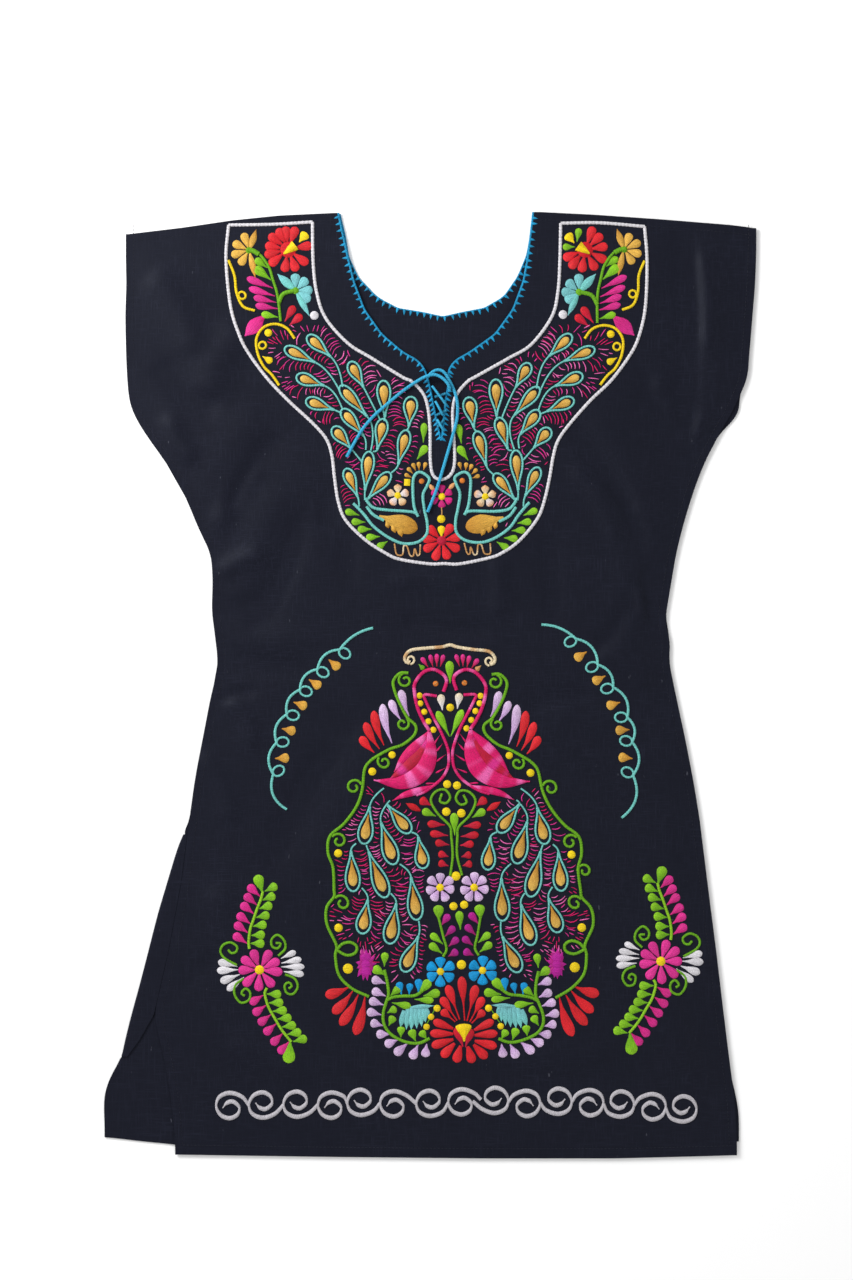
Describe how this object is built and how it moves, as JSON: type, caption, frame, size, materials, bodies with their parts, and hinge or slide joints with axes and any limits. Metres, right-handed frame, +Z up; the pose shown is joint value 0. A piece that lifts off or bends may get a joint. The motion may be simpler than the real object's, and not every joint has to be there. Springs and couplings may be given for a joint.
{
  "type": "huipil blouse",
  "caption": "Tunic-length huipil blouse laid flat: front and back panels with wide cut-on sleeves, scooped neck, laced slit, side vents and open hem.",
  "frame": {"origin": "on the surface the garment lies on, at the middle of its width and length", "axes": "+X to the right of the front as it is seen from above, +Y towards the neck, +Z up from the surface"},
  "size_m": [0.6, 0.87, 0.0121],
  "materials": {
    "cotton": "matte plain-weave cotton, near-black navy",
    "lace": "twisted sky-blue thread lace"
  },
  "bodies": {
    "root": {"front": "cotton", "back": "cotton", "lace_left": "lace", "lace_right": "lace", "lacing_over_1": "lace", "lacing_over_2": "lace", "lacing_over_3": "lace", "lacing_under_1": "lace", "lacing_under_2": "lace", "lacing_under_3": "lace"}
  },
  "joints": []
}
